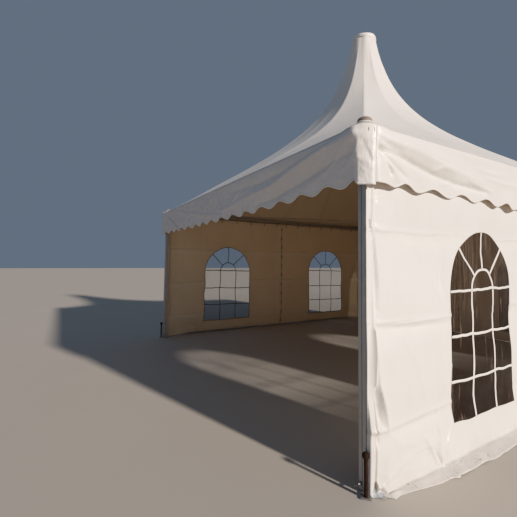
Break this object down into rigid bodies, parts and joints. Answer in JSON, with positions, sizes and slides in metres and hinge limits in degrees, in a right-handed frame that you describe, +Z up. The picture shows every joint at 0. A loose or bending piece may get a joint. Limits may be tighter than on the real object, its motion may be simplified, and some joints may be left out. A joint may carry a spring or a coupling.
{
  "type": "pagoda marquee tent",
  "caption": "Square pagoda marquee with a concave peaked membrane roof on an aluminium frame, scalloped valances, arched film windows in hung walls, and an open front.",
  "frame": {"origin": "on the ground at the middle of the footprint, ground flaps included; the mast stands 38 mm in front of it, because only the back has a flap", "axes": "+Z up, -Y out through the open front, +X to the right seen from the front"},
  "size_m": [5.3916, 5.3158, 5.12],
  "materials": {
    "aluminium_profile": "mill finish, matt, with fine drawn lines",
    "galvanised_steel": "dull galvanised",
    "rusty_steel": "brown rust all over",
    "cap_plastic": "grey-brown, weathered",
    "coated_membrane": "coated polyester, satin, off white",
    "wall_sheet": "coated polyester, satin, off white, with creases",
    "window_film": "clear flexible film, slightly smoky"
  },
  "bodies": {
    "root": {"leg_front_right": "aluminium_profile", "base_plate_front_right": "galvanised_steel", "ground_stake_front_right": "rusty_steel", "corner_head_front_right": "aluminium_profile", "corner_cap_front_right": "cap_plastic", "leg_front_left": "aluminium_profile", "base_plate_front_left": "galvanised_steel", "ground_stake_front_left": "rusty_steel", "corner_head_front_left": "aluminium_profile", "corner_cap_front_left": "cap_plastic", "leg_back_left": "aluminium_profile", "base_plate_back_left": "galvanised_steel", "ground_stake_back_left": "rusty_steel", "corner_head_back_left": "aluminium_profile", "corner_cap_back_left": "cap_plastic", "leg_back_right": "aluminium_profile", "base_plate_back_right": "galvanised_steel", "ground_stake_back_right": "rusty_steel", "corner_head_back_right": "aluminium_profile", "corner_cap_back_right": "cap_plastic", "eave_beam_front": "aluminium_profile", "valance_front": "coated_membrane", "eave_beam_right": "aluminium_profile", "valance_right": "coated_membrane", "eave_beam_back": "aluminium_profile", "valance_back": "coated_membrane", "eave_beam_left": "aluminium_profile", "valance_left": "coated_membrane", "cable_front_left_to_back_right": "galvanised_steel", "cable_front_right_to_back_left": "galvanised_steel", "mast_foot": "galvanised_steel", "mast": "aluminium_profile", "peak_hood": "coated_membrane", "roof_membrane": "coated_membrane", "right_wall_left": "wall_sheet", "right_window_left": "window_film", "right_wall_right": "wall_sheet", "right_window_right": "window_film", "back_wall_left": "wall_sheet", "back_window_left": "window_film", "back_wall_right": "wall_sheet", "back_window_right": "window_film", "left_wall_left": "wall_sheet", "left_window_left": "window_film", "left_wall_right": "wall_sheet", "left_window_right": "window_film"}
  },
  "joints": []
}
